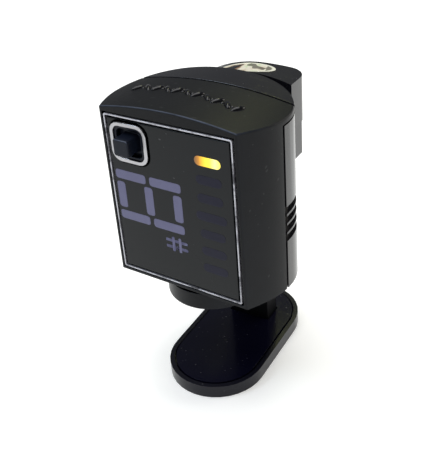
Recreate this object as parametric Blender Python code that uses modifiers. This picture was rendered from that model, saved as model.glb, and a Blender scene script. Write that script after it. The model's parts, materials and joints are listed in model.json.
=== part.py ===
"""Clip-on tuner: a display head that swivels on a spring-loaded sliding jaw clip.

Sizes are in millimetres and MM turns them into Blender's metres. The origin is on the swivel axis at the
underside of the lower jaw. +X is to the right of someone facing the display, +Y goes back from the display,
+Z goes up from the lower jaw to the head. The clip's own pieces are drawn square and turned by CLIP_YAW.
"""

import math

import bmesh
import bpy
from mathutils import Matrix, Vector

MM = 0.001
GAP = 0.3                 # clearance between neighbouring pieces
INSERT_GAP = 0.12         # clearance round the display's inserts

# head, drawn about its own middle; the swivel axis stands a little to the right of it
SWIVEL_X = 0.6
FACE_Y = -10.0            # display face, in front of the swivel axis
FACE_HALF = 14.6          # half width at the face
HEAD_HALF = 17.9          # half width at the swivel axis
HEAD_BACK = 12.8          # depth behind the axis
PLAN_POWER = 0.86         # under 1 makes the back's plan squarer than an ellipse
HEAD_BOTTOM = 25.4
HEAD_CROWN = 61.9         # top at the middle
CROWN_R = 80.0            # radius of the crowned top, seen from the front
WALL = 1.5
CAP_BOTTOM = 58.9         # underside of the front housing's top plate
CAP_BACK = 5.5            # parting line across the top
PARTING_Y, PARTING_GAP = -0.4, 0.5      # joint down each side between the front housing and the rear cover
COVER_TRAVEL = 3.0        # rear cover slides down to unlatch
GRIP_BOTTOM, GRIP_PITCH, GRIP_COUNT = 35.7, 1.9, 4
GRIP_GROOVE, GRIP_DEPTH = 1.45, 0.8
GRIP_START, GRIP_END = 0.97, 1.72      # along the head's side, as side_point counts it

# display face
PANEL_BOTTOM = 26.4       # lower edge of the outline round the panel
PANEL_W, PANEL_H = 27.5, 33.0
PANEL_TOP = PANEL_BOTTOM + PANEL_H
TRIM_W = 0.4
BUTTON_X, BUTTON_Z = -8.35, PANEL_BOTTOM + 27.95
RING_W, RING_H = 8.2, 7.8
BUTTON_PROUD = 2.6
BAR_X, BAR_PITCH, BAR_COUNT = 8.4, 3.65, 7
BAR_TOP_Z = PANEL_BOTTOM + 27.75
BOARD_SCREWS = ((0.4, PANEL_BOTTOM + 29.8), (-7.0, PANEL_BOTTOM + 4.1))
SCREW_SHANK = 0.75
GUIDE_FRONT, GUIDE_BACK = FACE_Y + 1.1, FACE_Y + 3.8
BOARD_FRONT, BOARD_BACK = FACE_Y + 4.1, FACE_Y + 5.1
CELL_FRONT, CELL_Z = FACE_Y + 7.0, PANEL_BOTTOM + 17.8

# clip
CLIP_YAW = math.radians(4.4)
JAW_R = 10.3
JAW_NEAR, JAW_FAR = -1.0, 15.5
JAW_T = 2.8
RECESS_FLOOR = 1.5
POST_HALF, POST_FRONT, POST_BACK = 4.6, 13.9, 18.3
POST_Y = 0.5 * (POST_FRONT + POST_BACK)
POST_WALL = 0.8
POST_TOP = 57.6
CHANNEL_HALF, SLOT_HALF = 3.4, 2.2
DISC_R = 9.3
DISC_BOTTOM, DISC_TOP = 20.9, 24.4
CHANNEL_FLOOR = DISC_BOTTOM - GAP
SPRING_TOP = POST_TOP - 0.5
BLOCK_HALF, BLOCK_FRONT, BLOCK_BACK = 12.4, 14.0, 19.7
BLOCK_FRONT_R = 43.6      # radius of the block's hollow front
BLOCK_CORNER = 3.2        # radius of its rear corners
BLOCK_BOTTOM, BLOCK_SHOULDER, BLOCK_CROWN = 43.6, 51.2, 60.9
BLOCK_CROWN_X, BLOCK_CROWN_R = 5.5, 36.0      # the block's top slopes down to the left
SKIRT_HALF = 11.5
LABEL_X, LABEL_Y, LABEL_TURN = 1.0, 16.5, math.radians(6.0)
LABEL_HALF_LONG, LABEL_HALF_SHORT, LABEL_T = 5.8, 2.8, 0.15
PIN_R = 1.7
PIN_TOP = HEAD_BOTTOM + 3.4

COLOURS = {
    "housing": ((0.018, 0.019, 0.021), 0.42, 0.0),
    "cover": ((0.016, 0.016, 0.018), 0.25, 0.0),
    "window": ((0.02, 0.02, 0.024), 0.12, 0.0),
    "trim": ((0.75, 0.75, 0.77), 0.3, 0.9),
    "ring": ((0.82, 0.82, 0.84), 0.15, 1.0),
    "button": ((0.03, 0.034, 0.045), 0.4, 0.0),
    "guide": ((0.03, 0.03, 0.035), 0.6, 0.0),
    "segment": ((0.2, 0.19, 0.36), 0.5, 0.0),
    "lit": ((1.0, 0.62, 0.05), 0.4, 0.0),
    "dim": ((0.045, 0.043, 0.065), 0.5, 0.0),
    "board": ((0.02, 0.12, 0.05), 0.5, 0.0),
    "chip": ((0.02, 0.02, 0.02), 0.4, 0.0),
    "led": ((0.8, 0.78, 0.6), 0.3, 0.0),
    "steel": ((0.6, 0.6, 0.62), 0.3, 1.0),
    "brass": ((0.75, 0.58, 0.28), 0.3, 1.0),
    "jaw": ((0.012, 0.012, 0.018), 0.12, 0.0),
    "rubber": ((0.012, 0.012, 0.02), 0.3, 0.0),
    "foil": ((0.75, 0.72, 0.5), 0.25, 0.8),
}


def clear_scene():
    for obj in list(bpy.data.objects):
        bpy.data.objects.remove(obj, do_unlink=True)


def collection(name):
    made = bpy.data.collections.new(name)
    bpy.context.scene.collection.children.link(made)
    return made


clear_scene()
PARTS = collection("clip_on_tuner")
CUTTERS = collection("cutters")


def empty(name, location=(0.0, 0.0, 0.0), yaw=0.0, drawn=(0.0, 0.0, 0.0)):
    """A joint frame: its origin lies on the joint's axis, which is at drawn in its pieces' drawings."""
    made = bpy.data.objects.new(name, None)
    made.location = Vector(location) * MM
    made["drawn"] = drawn
    made.rotation_euler = (0.0, 0.0, yaw)
    PARTS.objects.link(made)
    return made


CLIP = empty("clip_frame", yaw=CLIP_YAW)
CARRIAGE = empty("carriage_frame", yaw=CLIP_YAW)
HEAD = empty("head_frame", drawn=(SWIVEL_X, 0.0, 0.0))
COVER = empty("cover_frame", drawn=(SWIVEL_X, 0.0, 0.0))
BUTTON = empty("button_frame", (BUTTON_X - SWIVEL_X, FACE_Y, BUTTON_Z), drawn=(BUTTON_X, FACE_Y, BUTTON_Z))


def material(kind):
    """One Principled material per piece."""
    colour, roughness, metallic = COLOURS[kind]
    made = bpy.data.materials.new(kind)
    made.use_nodes = True
    shader = made.node_tree.nodes["Principled BSDF"]
    shader.inputs["Base Color"].default_value = (*colour, 1.0)
    shader.inputs["Roughness"].default_value = roughness
    shader.inputs["Metallic"].default_value = metallic
    return made


def add(name, mesh, kind, frame, cutter=False):
    """Link a mesh to its frame; the place of the frame's origin in the drawing is taken off its points."""
    mesh.transform(Matrix.Translation(Vector(frame["drawn"]) * -MM))
    made = bpy.data.objects.new(name, mesh)
    made.parent = frame
    if cutter:
        made.hide_render = True
        made.display_type = "WIRE"
        CUTTERS.objects.link(made)
    else:
        mesh.materials.append(material(kind))
        PARTS.objects.link(made)
    return made


def slab_mesh(name, outlines, low, high, flat="Z"):
    """A plate from low to high, flat to Z or to Y. Outlines inside the first one are holes."""
    curve = bpy.data.curves.new(name, "CURVE")
    curve.dimensions = "2D"
    curve.fill_mode = "BOTH"
    curve.extrude = 0.5 * (high - low) * MM
    for outline in outlines:
        spline = curve.splines.new("POLY")
        spline.points.add(len(outline) - 1)
        for point, (x, y) in zip(spline.points, outline):
            point.co = (x * MM, y * MM, 0.0, 1.0)
        spline.use_cyclic_u = True
    holder = bpy.data.objects.new(name, curve)
    bpy.context.scene.collection.objects.link(holder)
    mesh = bpy.data.meshes.new_from_object(holder.evaluated_get(bpy.context.evaluated_depsgraph_get()))
    bpy.data.objects.remove(holder)
    bpy.data.curves.remove(curve)
    middle = 0.5 * (low + high) * MM
    if flat == "Z":
        mesh.transform(Matrix.Translation((0.0, 0.0, middle)))
    else:
        mesh.transform(Matrix.Translation((0.0, middle, 0.0)) @ Matrix.Rotation(math.pi / 2, 4, "X"))
    work = bmesh.new()
    work.from_mesh(mesh)
    bmesh.ops.remove_doubles(work, verts=work.verts, dist=0.00001)
    work.to_mesh(mesh)
    work.free()
    return mesh


def slab(name, kind, frame, outlines, low, high, flat="Z", cutter=False):
    return add(name, slab_mesh(name, outlines, low, high, flat), kind, frame, cutter)


def boolean(target, tool, operation="DIFFERENCE"):
    step = target.modifiers.new(tool.name, "BOOLEAN")
    step.operation = operation
    step.solver = "EXACT"
    step.object = tool


def turned(name, kind, frame, profile, centre=(0.0, 0.0), steps=32, cutter=False):
    """A solid of revolution about Z. The profile runs top to bottom on its outer side, axis to axis."""
    work = bmesh.new()
    points = [work.verts.new((r * MM, 0.0, z * MM)) for r, z in profile]
    for start, end in zip(points, points[1:]):
        work.edges.new((start, end))
    mesh = bpy.data.meshes.new(name)
    work.to_mesh(mesh)
    work.free()
    made = add(name, mesh, kind, frame, cutter)
    made.location = Vector((centre[0] * MM, centre[1] * MM, 0.0))
    screw = made.modifiers.new("turn", "SCREW")
    screw.steps = steps
    screw.render_steps = steps
    screw.use_merge_vertices = True
    screw.merge_threshold = 0.00001
    return made


# ---------------------------------------------------------------- outlines

def arc(cx, cy, r, start, end, steps):
    """Points of an arc, angles in degrees."""
    return [
        (cx + r * math.cos(math.radians(start + (end - start) * i / steps)),
         cy + r * math.sin(math.radians(start + (end - start) * i / steps)))
        for i in range(steps + 1)
    ]


def circle(r, cx=0.0, cy=0.0, steps=32):
    return arc(cx, cy, r, 0.0, 360.0, steps)[:-1]


def rounded(cx, cy, w, h, r, steps=4):
    x, y = w / 2 - r, h / 2 - r
    corners = ((x, y, 0), (-x, y, 90), (-x, -y, 180), (x, -y, 270))
    return [p for dx, dy, a in corners for p in arc(cx + dx, cy + dy, r, a, a + 90, steps)]


def box(x0, x1, y0, y1):
    return [(x0, y0), (x1, y0), (x1, y1), (x0, y1)]


def stadium(r, near, far, steps=18):
    return arc(0.0, far, r, 0.0, 180.0, steps) + arc(0.0, near, r, 180.0, 360.0, steps)


def offset(points, distance):
    """Move an anticlockwise outline inwards by a distance."""
    moved = []
    for i, (x, y) in enumerate(points):
        px, py = points[i - 1]
        nx, ny = points[(i + 1) % len(points)]
        before = Vector((x - px, y - py)).normalized()
        after = Vector((nx - x, ny - y)).normalized()
        inward = (Vector((-before.y, before.x)) + Vector((-after.y, after.x))).normalized()
        reach = distance / max(0.35, inward.dot(Vector((-before.y, before.x))))
        moved.append((x + inward.x * reach, y + inward.y * reach))
    return moved


def side_point(t):
    """Right side of the head's plan: t 0 at the face, 1 at the axis, 2 at the middle of the back."""
    if t < 1.0:
        flare = math.sin(0.5 * math.pi * t)
        return FACE_HALF + (HEAD_HALF - FACE_HALF) * flare, FACE_Y * (1.0 - t)
    turn = 0.5 * math.pi * (t - 1.0)
    return (HEAD_HALF * max(0.0, math.cos(turn)) ** PLAN_POWER,
            HEAD_BACK * max(0.0, math.sin(turn)) ** PLAN_POWER)


def head_plan(front_steps=5, back_steps=16):
    """Head seen from above, anticlockwise from the front right corner."""
    right = [side_point(i / front_steps) for i in range(front_steps)]
    right += [side_point(1.0 + i / back_steps) for i in range(back_steps + 1)]
    return right + [(-x, y) for x, y in reversed(right[:-1])]


def side_strip(start, end, outside, inside, side, steps=8):
    """A band along one side of the head's plan, from outside it to inside it."""
    outer, inner = [], []
    for i in range(steps + 1):
        t = start + (end - start) * i / steps
        x, y = side_point(t)
        bx, by = side_point(t + 0.01)
        out = Vector((by - y, x - bx)).normalized()
        outer.append((side * (x + out.x * outside), y + out.y * outside))
        inner.append((side * (x - out.x * inside), y - out.y * inside))
    band = outer + inner[::-1]
    return band if side > 0 else band[::-1]


def crown_cutter(name, frame, top, middle=0.0, radius=CROWN_R):
    """Everything above a crowned top whose highest line is over x = middle, seen from the front."""
    reach = 24.0
    steps = 24
    xs = [-reach + 2.0 * reach * i / steps for i in range(steps + 1)]
    outline = [(x, top - (x - middle) ** 2 / (2.0 * radius)) for x in xs]
    outline += [(reach, top + 12.0), (-reach, top + 12.0)]
    return slab(name, None, frame, [outline], -30.0, 30.0, flat="Y", cutter=True)


# ---------------------------------------------------------------- head casings

def front_housing():
    plan = head_plan()
    shell = slab("front_housing", "housing", HEAD, [plan], HEAD_BOTTOM, HEAD_CROWN + 1.0)
    hollow = slab("front_hollow", None, HEAD, [offset(plan, WALL)],
                  HEAD_BOTTOM + WALL, CAP_BOTTOM, cutter=True)
    behind = slab("front_behind", None, HEAD, [box(-20, 20, PARTING_Y - PARTING_GAP / 2, 20)],
                  HEAD_BOTTOM + WALL, CAP_BOTTOM, cutter=True)
    rim = slab("front_rim", None, HEAD, [back_band(plan, -2.0, WALL + GAP)],
               HEAD_BOTTOM - 2.0, HEAD_BOTTOM + WALL + 1.0, cutter=True)
    back = slab("front_cap_back", None, HEAD, [box(-20, 20, CAP_BACK - GAP / 2, 20)],
                HEAD_BOTTOM + WALL + 1.0, HEAD_CROWN + 3.0, cutter=True)
    for tool in (hollow, behind, rim, back, crown_cutter("front_crown", HEAD, HEAD_CROWN)):
        boolean(shell, tool)
    recess = slab("front_recess", None, HEAD,
                  [box(-PANEL_W / 2 - GAP, PANEL_W / 2 + GAP, PANEL_BOTTOM - GAP, PANEL_TOP + GAP)],
                  FACE_Y - 1.0, FACE_Y + 1.0, flat="Y", cutter=True)
    opening = slab("front_opening", None, HEAD, [box(-13.6, 13.6, PANEL_BOTTOM + 1.6, CAP_BOTTOM - 0.1)],
                   FACE_Y, FACE_Y + 3.0, flat="Y", cutter=True)
    bore = slab("front_bore", None, HEAD, [circle(PIN_R + GAP, SWIVEL_X)],
                HEAD_BOTTOM - 1.0, HEAD_BOTTOM + 3.0, cutter=True)
    for tool in (recess, opening, bore):
        boolean(shell, tool)


def back_band(plan, outside, inside):
    """The band along the back of the plan, behind the parting line, from outside it to inside it."""
    rows = []
    front = PARTING_Y - PARTING_GAP / 2
    for distance in (outside, inside):
        row = [p for p in offset(plan, distance) if p[1] > GAP]
        rows.append([(row[0][0], front)] + row + [(row[-1][0], front)])
    return rows[0] + rows[1][::-1]


def rear_cover():
    plan = head_plan()
    shell = slab("rear_cover", "cover", COVER, [plan], HEAD_BOTTOM, HEAD_CROWN + 1.0)
    front = slab("cover_front", None, COVER, [box(-20, 20, -20, PARTING_Y + PARTING_GAP / 2)],
                 HEAD_BOTTOM - 1.0, HEAD_CROWN + 3.0, cutter=True)
    hollow = slab("cover_hollow", None, COVER, [offset(plan, WALL)],
                  HEAD_BOTTOM - 1.0, CAP_BOTTOM - GAP, cutter=True)
    cap = slab("cover_cap", None, COVER, [box(-20, 20, -20, CAP_BACK + GAP / 2)],
               CAP_BOTTOM - GAP, HEAD_CROWN + 3.0, cutter=True)
    notch = slab("cover_notch", None, COVER, [box(-7.8, 7.8, 5, 20)],
                 HEAD_BOTTOM - 1.0, HEAD_BOTTOM + COVER_TRAVEL + 0.8, cutter=True)
    tools = [front, hollow, cap, notch, crown_cutter("cover_crown", COVER, HEAD_CROWN)]
    for i in range(GRIP_COUNT):
        for side in (1, -1):
            z = GRIP_BOTTOM + GRIP_PITCH * i
            tools.append(slab(f"cover_groove_{i}_{side}", None, COVER,
                              [side_strip(GRIP_START, GRIP_END, 1.5, GRIP_DEPTH, side)],
                              z, z + GRIP_GROOVE, cutter=True))
    for tool in tools:
        boolean(shell, tool)


# ---------------------------------------------------------------- display

def segment_outlines():
    """A seven-segment digit lying on its side: two rows of two, and uprights left, middle and right."""
    z = PANEL_BOTTOM
    outlines = []
    for x in (-9.2, -1.35):
        for height in (21.07, 12.42):
            outlines.append(rounded(x, z + height, 7.0, 1.85, 0.5, 2))
    for x, h in ((-11.72, 5.5), (-5.3, 5.9), (1.2, 5.5)):
        outlines.append(rounded(x, z + 16.75, 1.9, h, 0.5, 2))
    return outlines


def bar_outlines():
    """Meter bars from top to bottom: capsules, the middle one wider."""
    outlines = []
    for i in range(BAR_COUNT):
        w = 6.5 if i == BAR_COUNT // 2 else 5.4
        outlines.append(rounded(BAR_X, BAR_TOP_Z - i * BAR_PITCH, w, 1.8, 0.89, 4))
    return outlines


def sharp_bars():
    z = PANEL_BOTTOM + 8.85
    rows = [rounded(0.05, z + dz, 4.9, 0.6, 0.12, 1) for dz in (-0.7, 0.7)]
    posts = [rounded(dx, z, 0.6, 3.1, 0.12, 1) for dx in (-0.7, 0.8)]
    return rows + posts


def display():
    panel = box(-PANEL_W / 2, PANEL_W / 2, PANEL_BOTTOM, PANEL_TOP)
    slab("window_trim", "trim", HEAD, [panel, offset(panel, TRIM_W)], FACE_Y - 0.1, FACE_Y + 0.7, flat="Y")
    hole = rounded(BUTTON_X, BUTTON_Z, RING_W + 2 * GAP, RING_H + 2 * GAP, 2.3)
    slab("display_window", "window", HEAD, [offset(panel, TRIM_W + GAP), hole],
         FACE_Y, FACE_Y + 0.7, flat="Y")
    slab("button_ring", "ring", HEAD,
         [rounded(BUTTON_X, BUTTON_Z, RING_W, RING_H, 2.0),
          rounded(BUTTON_X, BUTTON_Z, 6.7, 6.3, 1.3)],
         FACE_Y - 0.4, FACE_Y + 0.7, flat="Y")
    front, back = GUIDE_FRONT, GUIDE_BACK
    holes = [offset(o, -INSERT_GAP) for o in segment_outlines() + bar_outlines()]
    holes += [circle(SCREW_SHANK + GAP, x, z, 12) for x, z in BOARD_SCREWS]
    holes.append(rounded(BUTTON_X, BUTTON_Z, 8.0, 7.8, 1.0))
    holes.append(box(-2.8, 2.9, PANEL_BOTTOM + 6.9, PANEL_BOTTOM + 10.8))
    frame = box(-13.3, 13.3, PANEL_BOTTOM + 1.9, CAP_BOTTOM - 0.4)
    slab("light_guide_frame", "guide", HEAD, [frame] + holes, front, back, flat="Y")
    for i, outline in enumerate(segment_outlines()):
        slab(f"digit_segment_{i + 1}", "segment", HEAD, [outline], front + 0.1, front + 1.0, flat="Y")
    for i, outline in enumerate(bar_outlines()):
        slab(f"meter_bar_{i + 1}", "dim" if i else "lit", HEAD, [outline], front + 0.1, front + 1.0, flat="Y")
    rows = sharp_bars()
    sharp = slab("sharp_sign", "segment", HEAD, [rows[0]], front + 0.1, front + 1.0, flat="Y")
    for i, outline in enumerate(rows[1:]):
        more = 0.01 * (i + 1)
        boolean(sharp, slab(f"sharp_bar_{i}", None, HEAD, [outline], front + 0.1 - more, front + 1.0 + more,
                            flat="Y", cutter=True), "UNION")


def power_button():
    flange = slab("power_button", "button", BUTTON,
                  [rounded(BUTTON_X, BUTTON_Z, 7.4, 7.2, 0.8)], FACE_Y + 1.0, FACE_Y + 1.5, flat="Y")
    plunger = slab("button_plunger", None, BUTTON, [rounded(BUTTON_X, BUTTON_Z, 3.4, 3.3, 0.5)],
                   FACE_Y - BUTTON_PROUD, FACE_Y + 1.2, flat="Y", cutter=True)
    boolean(flange, plunger, "UNION")


# ---------------------------------------------------------------- electronics

def electronics():
    board_front, board_back = BOARD_FRONT, BOARD_BACK
    outline = box(-13.0, 13.0, PANEL_BOTTOM + 1.4, PANEL_TOP - 1.2)
    holes = [circle(SCREW_SHANK + GAP, x, z, 12) for x, z in BOARD_SCREWS]
    slab("circuit_board", "board", HEAD, [outline] + holes, board_front, board_back, flat="Y")
    slab("tact_switch", "chip", HEAD, [rounded(BUTTON_X, BUTTON_Z, 4.5, 4.5, 0.4, 2)],
         FACE_Y + 2.4, board_front - GAP, flat="Y")
    for i in range(BAR_COUNT):
        z = BAR_TOP_Z - i * BAR_PITCH
        slab(f"led_{i + 1}", "led", HEAD, [box(BAR_X - 0.8, BAR_X + 0.8, z - 0.4, z + 0.4)],
             board_front - 0.9, board_front - GAP, flat="Y")
    slab("controller_chip", "chip", HEAD, [box(2.5, 8.5, PANEL_BOTTOM + 1.8, PANEL_BOTTOM + 5.6)],
         board_back + GAP, board_back + 1.3, flat="Y")
    cell_front, cell_z = CELL_FRONT, CELL_Z
    slab("coin_cell", "steel", HEAD, [circle(10.0, 0.0, cell_z, 40)], cell_front, cell_front + 3.2, flat="Y")
    ring = arc(0.0, cell_z, 11.6, 120.0, 420.0, 30) + arc(0.0, cell_z, 10.3, 420.0, 120.0, 30)
    slab("battery_holder", "guide", HEAD, [ring], cell_front - 0.4, cell_front + 3.8, flat="Y")
    slab("contact_negative", "brass", HEAD, [box(-2.5, 2.5, cell_z - 7.0, cell_z + 7.0)],
         cell_front - 1.0, cell_front - 0.7, flat="Y")
    slab("contact_positive", "brass", HEAD, [box(-2.5, 2.5, cell_z - 12.0, cell_z + 8.0)],
         cell_front + 4.1, cell_front + 4.4, flat="Y")
    for i, (x, z) in enumerate(BOARD_SCREWS):
        screw = slab(f"board_screw_{i + 1}", "steel", HEAD, [circle(1.3, x, z, 16)],
                     board_back + GAP, board_back + 1.0, flat="Y")
        boolean(screw, slab(f"board_screw_shank_{i + 1}", None, HEAD, [circle(SCREW_SHANK, x, z, 12)],
                            FACE_Y + 1.5, board_back + 0.6, flat="Y", cutter=True), "UNION")


# ---------------------------------------------------------------- swivel and clip

def carriage():
    """Upper jaw disc, its arm and the shoe that runs in the post's channel, cut as one plate."""
    arm, neck, shoe = 4.0, 1.9, 3.1
    pad_bottom, pad_top, seat_top = DISC_BOTTOM - 0.5, DISC_BOTTOM + 0.9, DISC_BOTTOM + 3.2
    meet = math.degrees(math.asin(arm / DISC_R))
    outline = arc(0.0, 0.0, DISC_R, 90.0 + meet, 450.0 - meet, 48)
    right = [(arm, POST_FRONT - 0.5), (neck, POST_FRONT - 0.35), (neck, POST_FRONT + 1.05),
             (shoe, POST_FRONT + 1.2), (shoe, POST_BACK - POST_WALL - GAP)]
    outline += right + [(-x, y) for x, y in reversed(right)]
    jaw = slab("upper_jaw", "housing", CARRIAGE, [outline], DISC_BOTTOM, DISC_TOP)
    tools = [
        slab("jaw_pad_recess", None, CARRIAGE, [circle(DISC_R - 0.7, steps=40)],
             DISC_BOTTOM - 1.0, DISC_BOTTOM + 1.8, cutter=True),
        slab("jaw_screw_seat", None, CARRIAGE, [circle(3.7, steps=24)],
             DISC_BOTTOM + 1.6, seat_top, cutter=True),
        slab("jaw_bore", None, CARRIAGE, [circle(PIN_R + GAP, steps=24)],
             seat_top - 0.5, DISC_TOP + 1.0, cutter=True),
    ]
    for tool in tools:
        boolean(jaw, tool)
    slab("upper_jaw_pad", "rubber", CARRIAGE, [circle(DISC_R - 1.0, steps=40)], pad_bottom, pad_top)
    slab("piezo_disc", "brass", CARRIAGE, [circle(6.8)], pad_top + GAP, pad_top + 2 * GAP)
    head_top = seat_top - GAP
    turned("swivel_screw", "steel", CARRIAGE,
           [(0.0, PIN_TOP), (PIN_R, PIN_TOP), (PIN_R, head_top), (3.4, head_top),
            (3.4, pad_top + 3 * GAP), (0.0, pad_top + 3 * GAP)])
    slab("swivel_washer", "steel", CARRIAGE, [circle(5.0), circle(PIN_R + GAP, steps=24)],
         DISC_TOP + GAP, HEAD_BOTTOM - GAP)
    slab("swivel_nut", "steel", CARRIAGE,
         [circle(3.6, steps=6), circle(PIN_R + GAP, steps=24)], HEAD_BOTTOM + WALL + GAP, PIN_TOP)


def post_and_jaw():
    foot = box(-POST_HALF, POST_HALF, POST_FRONT, POST_BACK)
    foot_z = RECESS_FLOOR + GAP
    jaw = slab("lower_jaw", "jaw", CLIP, [stadium(JAW_R, JAW_NEAR, JAW_FAR)], 0.0, JAW_T)
    boolean(jaw, slab("jaw_recess", None, CLIP, [stadium(JAW_R - 1.0, JAW_NEAR, JAW_FAR)],
                      RECESS_FLOOR, JAW_T + 1.0, cutter=True))
    slab("lower_jaw_pad", "rubber", CLIP,
         [stadium(JAW_R - 1.0 - GAP, JAW_NEAR, JAW_FAR), offset(foot, -GAP)], foot_z, JAW_T + 0.1)
    post = slab("clip_post", "housing", CLIP, [foot], foot_z, POST_TOP)
    channel = slab("post_channel", None, CLIP,
                   [box(-CHANNEL_HALF, CHANNEL_HALF, POST_FRONT + POST_WALL, POST_BACK - POST_WALL)],
                   CHANNEL_FLOOR, POST_TOP + 1.0, cutter=True)
    slot = slab("post_slot", None, CLIP, [box(-SLOT_HALF, SLOT_HALF, POST_FRONT - 1.0, POST_FRONT + 1.0)],
                CHANNEL_FLOOR, POST_TOP + 2.0, cutter=True)
    boolean(post, channel)
    boolean(post, slot)
    for i, x in enumerate((-2.4, 2.4)):
        sink = turned(f"screw_sink_{i}", None, CLIP,
                      [(0.0, 8.0), (1.05, 8.0), (1.05, 1.25), (2.1, 1.25), (2.1, -1.0), (0.0, -1.0)],
                      (x, POST_Y), 20, cutter=True)
        boolean(jaw, sink)
        boolean(post, sink)
        turned(f"jaw_screw_{i + 1}", "steel", CLIP,
               [(0.0, 7.7), (SCREW_SHANK, 7.7), (SCREW_SHANK, 0.95), (1.8, 0.95), (1.8, 0.15), (0.0, 0.15)],
               (x, POST_Y), 20)


def press_block():
    """Thumb block on the post's top: hollow in front, square behind, with a narrower skirt."""
    half_angle = math.degrees(math.asin(BLOCK_HALF / BLOCK_FRONT_R))
    outline = arc(0.0, BLOCK_FRONT - BLOCK_FRONT_R, BLOCK_FRONT_R, 90.0 + half_angle, 90.0 - half_angle, 16)
    corner_x, corner_y = BLOCK_HALF - BLOCK_CORNER, BLOCK_BACK - BLOCK_CORNER
    outline += arc(corner_x, corner_y, BLOCK_CORNER, 0.0, 90.0, 6)
    outline += arc(-corner_x, corner_y, BLOCK_CORNER, 90.0, 180.0, 6)
    block = slab("press_block", "cover", CLIP, [outline], BLOCK_BOTTOM, BLOCK_CROWN + 1.0)
    pocket = slab("block_pocket", None, CLIP,
                  [box(-POST_HALF - GAP, POST_HALF + GAP, 8.0, POST_BACK + GAP)],
                  BLOCK_BOTTOM - 1.0, POST_TOP + GAP, cutter=True)
    boolean(block, pocket)
    boolean(block, crown_cutter("block_crown", CLIP, BLOCK_CROWN, BLOCK_CROWN_X, BLOCK_CROWN_R))
    for side in (1, -1):
        ends = [(side * SKIRT_HALF, BLOCK_BOTTOM - 1.0), (side * 15.0, BLOCK_BOTTOM - 1.0),
                (side * 15.0, BLOCK_SHOULDER + 0.3), (side * SKIRT_HALF, BLOCK_SHOULDER)]
        boolean(block, slab(f"block_side_{side}", None, CLIP, [ends if side > 0 else ends[::-1]],
                            5.0, 22.0, flat="Y", cutter=True))


def foil_label():
    """Oval sticker that follows the block's crowned top, just clear of it."""
    cos, sin = math.cos(LABEL_TURN), math.sin(LABEL_TURN)
    outline = [(LABEL_X + LABEL_HALF_LONG * x * cos - LABEL_HALF_SHORT * y * sin,
                LABEL_Y + LABEL_HALF_LONG * x * sin + LABEL_HALF_SHORT * y * cos) for x, y in circle(1.0)]
    low, high = BLOCK_CROWN + GAP, BLOCK_CROWN + GAP + LABEL_T
    label = slab("foil_label", "foil", CLIP, [outline], low - 4.0, high + 1.0)
    over = crown_cutter("label_over", CLIP, low, BLOCK_CROWN_X, BLOCK_CROWN_R)
    boolean(label, over, "INTERSECT")
    boolean(label, crown_cutter("label_top", CLIP, high, BLOCK_CROWN_X, BLOCK_CROWN_R))


def clip_spring():
    """Compression spring in the post's channel, from the shoe up to the block."""
    low, high = DISC_TOP + 0.5, SPRING_TOP
    turns, coil_r, wire_r, around = 13, 1.05, 0.2, 10
    curve = bpy.data.curves.new("clip_spring", "CURVE")
    curve.dimensions = "3D"
    curve.bevel_depth = wire_r * MM
    curve.bevel_resolution = 1
    curve.use_fill_caps = True
    spline = curve.splines.new("POLY")
    count = turns * around
    spline.points.add(count)
    for i in range(count + 1):
        turn = 2.0 * math.pi * i / around
        z = low + (high - low) * i / count
        spline.points[i].co = (coil_r * math.cos(turn) * MM,
                               (POST_Y + coil_r * math.sin(turn)) * MM, z * MM, 1.0)
    holder = bpy.data.objects.new("clip_spring", curve)
    bpy.context.scene.collection.objects.link(holder)
    mesh = bpy.data.meshes.new_from_object(holder.evaluated_get(bpy.context.evaluated_depsgraph_get()))
    bpy.data.objects.remove(holder)
    bpy.data.curves.remove(curve)
    work = bmesh.new()
    work.from_mesh(mesh)
    bmesh.ops.remove_doubles(work, verts=work.verts, dist=0.000005)
    work.to_mesh(mesh)
    work.free()
    add("clip_spring", mesh, "steel", CLIP)


front_housing()
rear_cover()
display()
power_button()
electronics()
carriage()
post_and_jaw()
press_block()
foil_label()
clip_spring()
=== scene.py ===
"""Looks of the clip-on tuner: rounded casings, display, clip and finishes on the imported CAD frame."""

import json
import math

import bmesh
import bpy
from mathutils import Matrix, Vector


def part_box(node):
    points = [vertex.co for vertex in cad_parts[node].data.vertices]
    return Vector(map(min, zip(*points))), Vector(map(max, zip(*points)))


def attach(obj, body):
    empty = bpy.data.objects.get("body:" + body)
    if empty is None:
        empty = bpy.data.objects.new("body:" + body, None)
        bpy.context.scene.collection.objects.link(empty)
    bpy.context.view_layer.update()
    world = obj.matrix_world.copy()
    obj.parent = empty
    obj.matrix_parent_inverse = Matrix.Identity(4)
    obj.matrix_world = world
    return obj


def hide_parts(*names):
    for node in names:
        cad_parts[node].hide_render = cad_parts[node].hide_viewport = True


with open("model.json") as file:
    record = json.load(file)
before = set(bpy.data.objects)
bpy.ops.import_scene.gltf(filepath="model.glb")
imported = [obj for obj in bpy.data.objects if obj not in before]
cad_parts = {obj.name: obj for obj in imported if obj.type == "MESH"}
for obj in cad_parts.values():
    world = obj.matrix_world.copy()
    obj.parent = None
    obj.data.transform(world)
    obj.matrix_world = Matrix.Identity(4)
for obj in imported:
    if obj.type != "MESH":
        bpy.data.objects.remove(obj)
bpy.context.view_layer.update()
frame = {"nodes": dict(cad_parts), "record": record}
MM = 0.001
NODES = frame["nodes"]
BODY_OF = {node: body for body, nodes in frame["record"]["behaviour"]["bodies"].items() for node in nodes}
SLOT_OF = {part["node"]: part["material_slot"] for part in frame["record"]["subparts"]}

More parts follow.
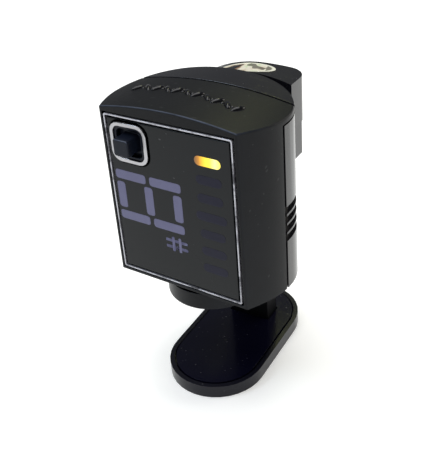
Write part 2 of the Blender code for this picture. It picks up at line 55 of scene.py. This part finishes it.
HOUSING_LOW, HOUSING_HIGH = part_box("front_housing")
BUTTON_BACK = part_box("power_button")[1].y
RING_LOW, RING_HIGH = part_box("button_ring")
TRIM_LOW, TRIM_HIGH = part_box("window_trim")
LABEL_LOW, LABEL_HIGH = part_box("foil_label")
BLOCK_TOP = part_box("press_block")[1].z
FACE_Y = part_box("display_window")[0].y
HEAD_X = 0.5 * (HOUSING_LOW.x + HOUSING_HIGH.x)
CROWN_R = 80.0 * MM             # radius of the head's crowned top, seen from the front
FACE_HALF = 14.6 * MM           # half width of the head at its face
CLIP_YAW = math.radians(4.4)    # turn of the clip's own X axis from the frame's
SHARP_EDGE = 32.0               # degrees between faces past which an edge is rounded

# The thumb block's top in the CAD, and the higher one given to it here so that the label shows over the
# head. Both are parabolas across the clip, with their highest line at a middle.
CAD_BLOCK_MIDDLE, CAD_BLOCK_R = 5.5 * MM, 36.0 * MM
BLOCK_MIDDLE, BLOCK_LIFT = 2.5 * MM, 0.3 * MM
BLOCK_LEFT_R, BLOCK_RIGHT_R = 23.0 * MM, 60.0 * MM


# ---------------------------------------------------------------- camera, floor and light

def camera():
    """A short telephoto view, from the right of the display and above it."""
    place = Vector((75.86, -103.24, 111.58)) * MM
    turn, down, roll = math.radians(35.02), math.radians(28.76), math.radians(-4.13)
    data = bpy.data.cameras.new("camera")
    data.sensor_width = 36.0
    data.lens = 61.38
    data.shift_x = -0.0101
    data.shift_y = -0.0721
    data.clip_start = 0.005
    view = bpy.data.objects.new("camera", data)
    aim = Matrix.Rotation(turn, 4, "Z") @ Matrix.Rotation(math.pi / 2 - down, 4, "X")
    view.matrix_world = Matrix.Translation(place) @ aim @ Matrix.Rotation(roll, 4, "Z")
    bpy.context.scene.collection.objects.link(view)
    bpy.context.scene.camera = view


def area_light(name, place, target, size, power, colour=(1.0, 1.0, 1.0)):
    data = bpy.data.lights.new(name, "AREA")
    data.shape = "RECTANGLE"
    data.size, data.size_y = size
    data.energy = power
    data.color = colour
    lamp = bpy.data.objects.new(name, data)
    lamp.location = place
    lamp.rotation_euler = (Vector(target) - Vector(place)).to_track_quat("-Z", "Y").to_euler()
    bpy.context.scene.collection.objects.link(lamp)


def studio():
    """Dim room, bright sheet under the tuner, one large lamp overhead and small ones for the glints."""
    world = bpy.data.worlds.new("room")
    world.use_nodes = True
    back = world.node_tree.nodes["Background"]
    back.inputs["Color"].default_value = (0.92, 0.95, 1.0, 1.0)
    back.inputs["Strength"].default_value = 0.16
    bpy.context.scene.world = world
    area_light("overhead", (-0.10, 0.05, 0.75), (0.0, 0.0, 0.0), (0.8, 0.8), 6.0)
    area_light("window_light", (-0.30, -0.29, 0.49), (0.0, 0.0, 0.05), (0.16, 0.16), 0.7, (0.72, 0.84, 1.0))
    area_light("glint", (0.10, -0.34, 0.42), (0.0, 0.0, 0.03), (0.05, 0.05), 0.12)
    area_light("far_fill", (0.45, 0.55, 0.30), (0.0, 0.0, 0.03), (0.5, 0.35), 1.6, (1.0, 0.95, 0.86))
    area_light("olive_fill", (-0.19, 0.43, 0.47), (0.0, 0.0, 0.06), (0.08, 0.08), 0.16, (0.80, 0.85, 0.35))


# ---------------------------------------------------------------- finishes

class Value:
    """A number that varies over a surface. Arithmetic on it adds Math nodes to its finish."""

    def __init__(self, finish, socket):
        self.finish = finish
        self.socket = socket

    def math(self, operation, first, second):
        return self.finish.node("ShaderNodeMath", {"operation": operation}, {0: first, 1: second})

    def __add__(self, other):
        return self.math("ADD", self, other)

    def __sub__(self, other):
        return self.math("SUBTRACT", self, other)

    def __rsub__(self, other):
        return self.math("SUBTRACT", other, self)

    def __mul__(self, other):
        return self.math("MULTIPLY", self, other)

    def __truediv__(self, other):
        return self.math("DIVIDE", self, other)

    def __pow__(self, other):
        return self.math("POWER", self, other)

    def over(self, limit):
        return self.math("GREATER_THAN", self, limit)

    def least(self, other):
        return self.math("MINIMUM", self, other)

    def most(self, other):
        return self.math("MAXIMUM", self, other)


class Finish:
    """A Principled material. Constants go on the shader's own sockets; what varies is linked to them."""

    def __init__(self, name, **constants):
        self.material = bpy.data.materials.new(name)
        self.material.use_nodes = True
        self.tree = self.material.node_tree
        self.shader = self.tree.nodes["Principled BSDF"]
        for socket, value in constants.items():
            self.shader.inputs[socket.replace("_", " ")].default_value = value
        self.place = self.node("ShaderNodeTexCoord", {}, {}, "Object")

    def node(self, kind, settings, sockets, output=0):
        """A node of this kind: its settings are set first, then its sockets get values or links."""
        made = self.tree.nodes.new(kind)
        for setting, value in settings.items():
            if setting == "stops":
                ramp = made.color_ramp
                for position, _ in value[1:-1]:
                    ramp.elements.new(position)
                for element, (_, colour) in zip(ramp.elements, value):
                    element.color = (*colour, 1.0)
            else:
                setattr(made, setting, value)
        for socket, value in sockets.items():
            if isinstance(value, Value):
                self.tree.links.new(value.socket, made.inputs[socket])
            else:
                made.inputs[socket].default_value = value
        return Value(self, made.outputs[output])

    def drive(self, **links):
        """Link what varies to the shader's sockets."""
        for socket, value in links.items():
            self.tree.links.new(value.socket, self.shader.inputs[socket.replace("_", " ")])
        return self.material

    def noise(self, scale, detail=3.0, rough=0.55, at=None):
        return self.node("ShaderNodeTexNoise", {}, {"Vector": at or self.place, "Scale": scale,
                                                    "Detail": detail, "Roughness": rough})

    def stretched(self, scale, turn=(0.0, 0.0, 0.0)):
        return self.node("ShaderNodeMapping", {"vector_type": "POINT"},
                         {"Vector": self.place, "Rotation": turn, "Scale": scale})

    def ramp(self, value, stops):
        return self.node("ShaderNodeValToRGB", {"stops": stops}, {"Fac": value})

    def mix(self, amount, first, second):
        first, second = [c if isinstance(c, Value) else (*c, 1.0) for c in (first, second)]
        return self.node("ShaderNodeMix", {"data_type": "RGBA"}, {0: amount, 6: first, 7: second}, 2)

    def bump(self, height, distance):
        return self.node("ShaderNodeBump", {}, {"Height": height, "Distance": distance, "Strength": 1.0})


def moulded(name, dark, light, rough, grain=2600.0, depth=0.012):
    """Matte moulded plastic: spark-eroded grain, soft cloudiness, front edges painted a little paler as a
    pale blue highlight.
    """
    f = Finish(name, Specular_IOR_Level=0.14)
    cloud = f.noise(55.0, 4.0)
    fine = f.noise(grain, 2.0, 0.6)
    speck = f.noise(900.0, 1.0).over(0.73)
    colour = f.mix(cloud, dark, light)
    facing = f.node("ShaderNodeTexCoord", {}, {}, "Normal")
    right, back, up = (f.node("ShaderNodeSeparateXYZ", {}, {"Vector": facing}, axis) for axis in "XYZ")
    # painted highlight: faces turned to the front and up or right (the rounded front edges) are tinted pale
    # blue, broken up by noise
    painted_edge_highlight = ((0.0 - back) * (up + right * 0.4) * 2.0).most(0.0) ** 3.0
    colour = f.mix(painted_edge_highlight * (f.noise(320.0) + 0.10), colour, (0.11, 0.13, 0.18))
    colour = f.mix(speck * 0.05, colour, (0.30, 0.30, 0.30))
    return f.drive(Base_Color=colour, Roughness=(cloud - 0.5) * 0.16 + (fine - 0.5) * 0.10 + rough,
                   Normal=f.bump(fine, depth * MM))


def polished(name, dark, light, rough, specular=0.5, scratch=0.05):
    """Gloss moulding: fine hairline scratches, a little dust and finger haze."""
    f = Finish(name, Specular_IOR_Level=specular)
    haze = f.noise(70.0, 4.0)
    hair = f.noise(900.0, 2.0, 0.5, f.stretched((0.05, 1.0, 1.0), (0.2, 0.0, 0.5)))
    cross = f.noise(800.0, 2.0, 0.5, f.stretched((1.0, 1.0, 0.05), (0.0, 0.3, 0.2)))
    lines = (hair.over(0.68) + cross.over(0.69)).least(1.0)
    dust = f.noise(1500.0, 1.0).over(0.76)
    colour = f.mix(haze, dark, light)
    colour = f.mix(dust * 0.08, colour, (0.40, 0.40, 0.42))
    return f.drive(Base_Color=colour, Roughness=(haze - 0.4) * 0.12 + lines * scratch + dust * 0.25 + rough,
                   Normal=f.bump(lines + haze * 0.5, 0.0015 * MM))


def metal(name, colour, shade, rough, brush=0.12, direction=(1.0, 1.0, 0.04)):
    """Plated or bare metal with a fine brushed or drawn grain and a few tarnished patches."""
    f = Finish(name, Metallic=1.0)
    grain = f.noise(1800.0, 2.0, 0.5, f.stretched(direction))
    patch = f.noise(140.0, 4.0, 0.6)
    return f.drive(Base_Color=f.mix(patch, shade, colour),
                   Roughness=(grain - 0.5) * brush + (patch - 0.5) * 0.1 + rough,
                   Normal=f.bump(grain, 0.002 * MM))


def worn_silver():
    """Thin plated outline, rubbed through in places."""
    f = Finish("worn_silver", Specular_IOR_Level=0.6)
    worn = f.noise(420.0, 5.0, 0.7)
    thin = f.noise(90.0, 2.0)
    mask = ((worn * 0.6 + thin * 0.4 - 0.40) * 9.0).most(0.0).least(1.0)
    fine = f.noise(2200.0, 2.0)
    return f.drive(Base_Color=f.mix(mask, (0.05, 0.05, 0.06), (0.46, 0.46, 0.50)), Metallic=mask * 0.75,
                   Roughness=(1.0 - mask) * 0.2 + fine * 0.25 + 0.18,
                   Normal=f.bump(worn + fine * 0.4, 0.01 * MM))


def smoked_acrylic():
    """Smoked window: nearly black, polished, with hairlines and a slow ripple."""
    f = Finish("smoked_acrylic", Specular_IOR_Level=0.18)
    ripple = f.noise(45.0, 2.0)
    hair = f.noise(700.0, 2.0, 0.5, f.stretched((0.04, 1.0, 1.0), (0.0, 0.6, 0.0))).over(0.70)
    dust = f.noise(1300.0, 1.0).over(0.77)
    colour = f.mix(ripple, (0.005, 0.0065, 0.007), (0.010, 0.011, 0.013))
    colour = f.mix(dust * 0.10, colour, (0.5, 0.5, 0.52))
    return f.drive(Base_Color=colour, Roughness=ripple * 0.08 + hair * 0.10 + dust * 0.3 + 0.09,
                   Normal=f.bump(ripple + hair * 0.02, 0.004 * MM))


def diffuser(name, dark, light, painted_glow, specular=0.35):
    """Unlit light-guide window: milky, slightly cloudy, with a soft painted glow: it emits a little of its
    own colour.
    """
    # painted glow: the unlit window emits its colour faintly so that it looks lit
    f = Finish(name, Specular_IOR_Level=specular, Emission_Strength=painted_glow)
    milk = f.noise(260.0, 4.0)
    fine = f.noise(2600.0, 1.0)
    colour = f.mix(milk * 0.7 + fine * 0.3, dark, light)
    return f.drive(Base_Color=colour, Emission_Color=colour, Roughness=milk * 0.15 + 0.28,
                   Normal=f.bump(fine, 0.003 * MM))


def lit_diffuser(node):
    """The lit meter bar: orange at its left end, white-yellow towards its right."""
    low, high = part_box(node)
    f = Finish("lit_bar", Specular_IOR_Level=0.3, Emission_Strength=1.0)
    along = f.node("ShaderNodeSeparateXYZ", {}, {"Vector": f.place}, "X")
    t = (along - low.x) / (high.x - low.x) + (f.noise(300.0, 3.0) - 0.5) * 0.14
    colour = f.ramp(t, ((0.0, (0.09, 0.035, 0.02)), (0.16, (0.42, 0.16, 0.02)), (0.34, (0.95, 0.55, 0.03)),
                        (0.60, (1.0, 0.80, 0.06)), (0.80, (1.0, 0.93, 0.35)), (1.0, (1.0, 0.83, 0.08))))
    return f.drive(Base_Color=f.mix(0.55, colour, (0.2, 0.12, 0.02)), Emission_Color=colour,
                   Roughness=f.noise(900.0) * 0.2 + 0.25)


def label_foil(centre, half_long, half_short, turn):
    """Oval foil sticker: pale rim, and cream, green and brown patches that read as diffraction colours."""
    f = Finish("label_foil", Coat_Weight=0.6, Coat_Roughness=0.06)
    across = f.node("ShaderNodeMapping", {"vector_type": "TEXTURE"},
                    {"Vector": f.place, "Location": centre, "Rotation": (0.0, 0.0, turn),
                     "Scale": (half_long, half_short, 1.0)})
    x = f.node("ShaderNodeSeparateXYZ", {}, {"Vector": across}, "X")
    y = f.node("ShaderNodeSeparateXYZ", {}, {"Vector": across}, "Y")
    radius = (x * x + y * y) ** 0.5
    rim = ((radius - 0.86) * 18.0).most(0.0).least(1.0)
    drift = f.noise(230.0, 3.0, 0.6)
    flow = f.noise(420.0, 4.0, 0.65, f.stretched((1.0, 0.5, 1.0), (0.0, 0.0, 0.6)))
    bands = f.ramp(flow * 0.6 + drift * 0.5 + x * 0.10,
                   ((0.0, (0.10, 0.05, 0.03)), (0.44, (0.28, 0.14, 0.06)), (0.50, (0.80, 0.70, 0.52)),
                    (0.60, (0.95, 0.90, 0.74)), (0.68, (0.62, 0.78, 0.42)), (0.76, (0.10, 0.17, 0.07)),
                    (1.0, (0.72, 0.86, 0.55))))
    dark = f.noise(300.0, 2.0, 0.5).over(0.58) * (1.0 - rim)
    colour = f.mix(dark * 0.8, bands, (0.06, 0.05, 0.03))
    colour = f.mix(rim, colour, (0.86, 0.85, 0.70))
    return f.drive(Base_Color=colour, Metallic=(1.0 - rim) * 0.20, Roughness=flow * 0.2 + 0.20,
                   Normal=f.bump(flow + rim * 0.8, 0.01 * MM))


def solder_mask():
    """Green board: darker copper tracks under the mask, tinned pads."""
    f = Finish("solder_mask", Specular_IOR_Level=0.5)
    tracks = f.node("ShaderNodeTexBrick", {"offset": 0.4},
                    {"Vector": f.stretched((1.0, 1.0, 1.0), (math.pi / 2, 0.0, 0.0)), "Scale": 260.0,
                     "Mortar Size": 0.06, "Brick Width": 0.9, "Row Height": 0.35}, "Fac")
    pads = f.noise(600.0, 0.0).over(0.72)
    colour = f.mix(tracks, (0.012, 0.10, 0.035), (0.03, 0.20, 0.08))
    colour = f.mix(pads, colour, (0.62, 0.60, 0.55))
    return f.drive(Base_Color=colour, Metallic=pads, Roughness=f.noise(200.0) * 0.2 + 0.25,
                   Normal=f.bump(tracks, 0.02 * MM))


MARK_GLOSS = polished("mark_gloss", (0.002, 0.002, 0.003), (0.005, 0.005, 0.007), 0.14, 0.35, 0.03)
FINISHES = {
    "housing": moulded("charcoal_moulding", (0.0035, 0.004, 0.005), (0.008, 0.0085, 0.010), 0.38),
    "cover": polished("black_gloss_moulding", (0.005, 0.005, 0.007), (0.010, 0.010, 0.013), 0.16),
    "window": smoked_acrylic(),
    "trim": worn_silver(),
    "ring": metal("bright_plating", (0.48, 0.47, 0.48), (0.30, 0.30, 0.32), 0.24, 0.10, (1.0, 0.1, 1.0)),
    "button": moulded("button_moulding", (0.004, 0.006, 0.012), (0.009, 0.012, 0.022), 0.32, 2200.0, 0.008),
    "guide": moulded("guide_moulding", (0.012, 0.012, 0.014), (0.024, 0.024, 0.028), 0.55),
    "segment": diffuser("violet_diffuser", (0.082, 0.082, 0.165), (0.130, 0.130, 0.235), 0.08),
    "lit_bar": lit_diffuser("meter_bar_1"),
    "dim_bar": diffuser("dark_diffuser", (0.004, 0.004, 0.014), (0.010, 0.010, 0.028), 0.02, 0.16),
    "board": solder_mask(),
    "chip": moulded("chip_epoxy", (0.010, 0.010, 0.010), (0.022, 0.022, 0.022), 0.45, 3200.0),
    "led": diffuser("led_lens", (0.62, 0.60, 0.42), (0.86, 0.84, 0.66), 0.0),
    "steel": metal("nickel_plate", (0.72, 0.72, 0.74), (0.50, 0.50, 0.52), 0.26),
    "brass": metal("spring_brass", (0.85, 0.66, 0.34), (0.60, 0.42, 0.18), 0.30),
    "jaw": polished("jaw_gloss", (0.004, 0.004, 0.008), (0.009, 0.009, 0.016), 0.20, 0.26),
    "rubber": polished("pad_skin", (0.002, 0.002, 0.009), (0.004, 0.004, 0.014), 0.16, 0.20),
}


# ---------------------------------------------------------------- pieces

def finished(name, work, material, body, stands_for=(), bevel=None, angle=SHARP_EDGE):
    """Make a piece of a bmesh, round its edges, give it its finish and tie it to its body."""
    mesh = bpy.data.meshes.new(name)
    work.to_mesh(mesh)
    work.free()
    mesh.shade_smooth()
    mesh.materials.append(material)
    piece = bpy.data.objects.new(name, mesh)
    bpy.context.scene.collection.objects.link(piece)
    if bevel:
        step = piece.modifiers.new("rounding", "BEVEL")
        step.width = bevel * MM
        step.segments = 3
        step.limit_method = "ANGLE"
        step.angle_limit = math.radians(angle)
        piece.modifiers.new("shading", "WEIGHTED_NORMAL")
    if stands_for:
        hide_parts(*stands_for)
    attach(piece, body)


def copied(node):
    """The CAD node's mesh, merged, with its flat faces made whole."""
    work = bmesh.new()
    work.from_mesh(NODES[node].data)
    bmesh.ops.remove_doubles(work, verts=work.verts, dist=0.004 * MM)
    bmesh.ops.dissolve_limit(work, angle_limit=math.radians(0.6), verts=work.verts, edges=work.edges)
    return work


def softened(node, bevel):
    """A CAD node with rounded edges in place of its sharp ones."""
    slot = SLOT_OF[node]
    finished(node + "_shape", copied(node), FINISHES[slot], BODY_OF[node], [node], bevel)


def at_the_face(node):
    """A display insert whose front stands just proud of the window's surface."""
    proud, deep, rounding = 0.03 * MM, 0.4 * MM, 0.02
    work = copied(node)
    low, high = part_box(node)
    middle = 0.5 * (low.y + high.y)
    for vert in work.verts:
        vert.co.y = FACE_Y - proud if vert.co.y < middle else FACE_Y + deep
    bmesh.ops.remove_doubles(work, verts=work.verts, dist=0.01 * MM)
    slot = SLOT_OF[node]
    finished(node + "_lens", work, FINISHES[slot], BODY_OF[node], [node], rounding)


def display():
    """The window with its inserts, silver outline, ring and button."""
    for node in NODES:
        if node.startswith(("digit_segment_", "meter_bar_")):
            at_the_face(node)
    at_the_face("sharp_sign")
    softened("display_window", 0.12)
    trim()
    softened("button_ring", 0.22)
    softened("power_button", 0.28)


def rounded_frame(work, centre, size, opening, radius, front, back):
    """A rounded-corner frame between two depths, open in the middle, facing along Y. Sizes are in mm."""
    corner_points = 6
    loops = []
    for w, h, r in ((size[0], size[1], radius), (opening[0], opening[1], radius * 0.8)):
        loop = []
        for sx, sz, start in ((1, 1, 0), (-1, 1, 90), (-1, -1, 180), (1, -1, 270)):
            for i in range(corner_points):
                a = math.radians(start + 90.0 * i / (corner_points - 1))
                loop.append(work.verts.new((centre.x + (sx * (w / 2 - r) + r * math.cos(a)) * MM, front,
                                            centre.z + (sz * (h / 2 - r) + r * math.sin(a)) * MM)))
        loops.append([work.edges.new((a, b)) for a, b in zip(loop, loop[1:] + loop[:1])])
    faces = bmesh.ops.bridge_loops(work, edges=loops[0] + loops[1])["faces"]
    pushed = bmesh.ops.extrude_face_region(work, geom=faces)["geom"]
    bmesh.ops.translate(work, verts=[g for g in pushed if isinstance(g, bmesh.types.BMVert)],
                        vec=(0.0, back - front, 0.0))
    bmesh.ops.recalc_face_normals(work, faces=work.faces)


def trim():
    """Thin silver wire round the display, in the groove between the window and the housing."""
    outside, inside, corner = (27.42, 32.92), (26.86, 32.36), 0.35
    work = bmesh.new()
    rounded_frame(work, 0.5 * (TRIM_LOW + TRIM_HIGH), outside, inside, corner, TRIM_LOW.y, TRIM_HIGH.y)
    finished("window_trim_wire", work, FINISHES["trim"], "head", ["window_trim"], bevel=0.06)


def button_well():
    """Dark rounded tunnel inside the bright ring, with the button standing in it."""
    outside, inside, corner = (6.66, 6.26), (5.5, 5.3), 1.25
    front, back = RING_LOW.y + 0.30 * MM, BUTTON_BACK - 0.8 * MM
    work = bmesh.new()
    rounded_frame(work, 0.5 * (RING_LOW + RING_HIGH), outside, inside, corner, front, back)
    finished("button_well", work, FINISHES["button"], "head", bevel=0.12)


def head_top(x):
    """Height of the head's crowned top."""
    return HOUSING_HIGH.z - (x - HEAD_X) ** 2 / (2.0 * CROWN_R)


def top_marks():
    """A row of raised leaves with beads between them on the crown: a generic grip mark."""
    start, end = HEAD_X - 12.6 * MM, HEAD_X + 10.2 * MM
    count, sunk = 21, 0.14 * MM
    leaf_size, bead_size = (0.58, 1.50, 0.62), (0.40, 0.40, 0.36)    # half sizes in mm
    for i in range(count):
        t = i / (count - 1)
        x = start + (end - start) * t
        y = (-0.8 - 1.7 * t + 0.7 * math.sin(math.pi * t)) * MM      # a slightly bowed row
        kind, size = ("bead", bead_size) if i % 2 else ("leaf", leaf_size)
        work = bmesh.new()
        bmesh.ops.create_uvsphere(work, u_segments=24, v_segments=12, radius=1.0)
        bmesh.ops.scale(work, verts=work.verts, vec=Vector(size) * MM)
        lean = Matrix.Rotation(math.radians(38.0 if i % 4 else -32.0), 3, "Z")
        bmesh.ops.rotate(work, verts=work.verts, cent=(0.0, 0.0, 0.0), matrix=lean)
        bmesh.ops.translate(work, verts=work.verts, vec=(x, y, head_top(x) - sunk))
        finished(f"top_{kind}_{i + 1}", work, MARK_GLOSS, "head")


def fine_crown(work):
    """Cut the head's crowned top into a 1 mm grid and lift the grid to its true curve."""
    reach = 20                               # grid lines to each side of the origin
    crown_low = HOUSING_HIGH.z - 6.0 * MM    # the crown's faces are all above this
    for step in range(-reach, reach + 1):
        for direction in ((1.0, 0.0, 0.0), (0.0, 1.0, 0.0)):
            top = [f for f in work.faces if f.normal.z > 0.95 and f.calc_center_median().z > crown_low]
            geom = top + list({e for f in top for e in f.edges}) + list({v for f in top for v in f.verts})
            bmesh.ops.bisect_plane(work, geom=geom, dist=0.01 * MM, plane_co=Vector(direction) * step * MM,
                                   plane_no=direction)
    for vert in work.verts:
        if abs(vert.co.z - head_top(vert.co.x)) < 0.05 * MM:
            vert.co.z = head_top(vert.co.x)


def crowned(node, rounding, bevel):
    """A head casing: its top rim and front corners rounded first, then its crown made smooth."""
    def on_top(point):
        return abs(point.z - head_top(point.x)) < 0.03 * MM

    def at_corner(point):
        return point.y < HOUSING_LOW.y + 0.05 * MM and abs(point.x - HEAD_X) > FACE_HALF - 0.2 * MM

    work = copied(node)
    rim = [e for e in work.edges if e.calc_face_angle(0.0) > math.radians(30.0)
           and (all(on_top(v.co) for v in e.verts) or all(at_corner(v.co) for v in e.verts))]
    bmesh.ops.bevel(work, geom=rim, offset=rounding * MM, offset_type="OFFSET", segments=3, profile=0.5,
                    affect="EDGES", clamp_overlap=False, material=-1)
    work.normal_update()
    fine_crown(work)
    slot = SLOT_OF[node]
    finished(node + "_shape", work, FINISHES[slot], BODY_OF[node], [node], bevel, 35.0)


def casings():
    """The head's two shells, the post and the thumb block."""
    crowned("front_housing", 0.32, 0.2)
    crowned("rear_cover", 0.12, 0.12)
    softened("clip_post", 0.22)
    press_block()


def across_clip(x, y):
    """Place along the clip's own X axis."""
    return x * math.cos(CLIP_YAW) + y * math.sin(CLIP_YAW)


def block_top(x, y):
    """Height of the block's crowned top; it falls away faster on the left."""
    across = across_clip(x, y) - BLOCK_MIDDLE
    return BLOCK_TOP + BLOCK_LIFT - across ** 2 / (2.0 * (BLOCK_LEFT_R if across < 0.0 else BLOCK_RIGHT_R))


def press_block():
    """The thumb block, with its crown raised to block_top."""
    work = copied("press_block")
    for vert in work.verts:
        across = across_clip(vert.co.x, vert.co.y) - CAD_BLOCK_MIDDLE
        cad_top = BLOCK_TOP - across ** 2 / (2.0 * CAD_BLOCK_R)
        if abs(vert.co.z - cad_top) < 0.08 * MM:
            vert.co.z = block_top(vert.co.x, vert.co.y)
    finished("press_block_shape", work, FINISHES["cover"], "clip", ["press_block"], 0.30, 30.0)


def jaws():
    """Both jaws and their pads."""
    softened("upper_jaw", 0.35)
    softened("upper_jaw_pad", 0.25)
    softened("lower_jaw", 0.30)
    softened("lower_jaw_pad", 0.12)


def foil_label():
    """Thin oval sticker, slightly domed, lying on the block."""
    centre = 0.5 * (LABEL_LOW + LABEL_HIGH) - Vector((0.0, 0.5, 0.0)) * MM
    turn = CLIP_YAW + math.radians(6.0)
    half_long, half_short = 6.2 * MM, 2.4 * MM
    thick, dome, clear = 0.12 * MM, 0.6, 0.03 * MM
    work = bmesh.new()
    bmesh.ops.create_circle(work, cap_ends=True, cap_tris=False, segments=64, radius=1.0)
    for step in range(3):
        disc = [f for f in work.faces if len(f.verts) > 4]
        bmesh.ops.inset_region(work, faces=disc, thickness=0.08 + 0.12 * step)
    pushed = bmesh.ops.extrude_face_region(work, geom=list(work.faces))["geom"]
    raised = [g for g in pushed if isinstance(g, bmesh.types.BMVert)]
    bmesh.ops.translate(work, verts=raised, vec=(0.0, 0.0, 1.0))
    bmesh.ops.recalc_face_normals(work, faces=work.faces)
    for vert in work.verts:
        lift = vert.co.z * thick * (1.0 + dome * (1.0 - vert.co.xy.length_squared))
        x, y = vert.co.x * half_long, vert.co.y * half_short
        vert.co.x = centre.x + x * math.cos(turn) - y * math.sin(turn)
        vert.co.y = centre.y + x * math.sin(turn) + y * math.cos(turn)
        vert.co.z = block_top(vert.co.x, vert.co.y) + clear + lift
    foil = label_foil(tuple(centre), half_long, half_short, turn)
    finished("foil_label_oval", work, foil, "clip", ["foil_label"], bevel=0.03)


def carried_over():
    """Give every CAD node a finish, for the inner ones that keep their CAD shape.

    The label's slot isn't in the list. Its CAD node is replaced, so any finish does.
    """
    for node, obj in NODES.items():
        obj.data.materials.clear()
        obj.data.materials.append(FINISHES.get(SLOT_OF[node], FINISHES["housing"]))


def floor():
    """Pale matte sheet, softly lit from below, that the tuner stands on."""
    f = Finish("pale_sheet", Specular_IOR_Level=0.1, Emission_Strength=0.30)
    tint = f.noise(3.0, 2.0)
    colour = f.mix(tint, (0.93, 0.93, 0.91), (0.96, 0.96, 0.95))
    sheet = f.drive(Base_Color=colour, Emission_Color=colour, Roughness=tint * 0.1 + 0.7)
    work = bmesh.new()
    bmesh.ops.create_grid(work, x_segments=8, y_segments=8, size=2.5)
    mesh = bpy.data.meshes.new("floor")
    work.to_mesh(mesh)
    work.free()
    mesh.materials.append(sheet)
    ground = bpy.data.objects.new("floor", mesh)
    bpy.context.scene.collection.objects.link(ground)


camera()
studio()
floor()
carried_over()
casings()
display()
button_well()
top_marks()
jaws()
foil_label()
bpy.context.scene.view_settings.view_transform = "Standard"
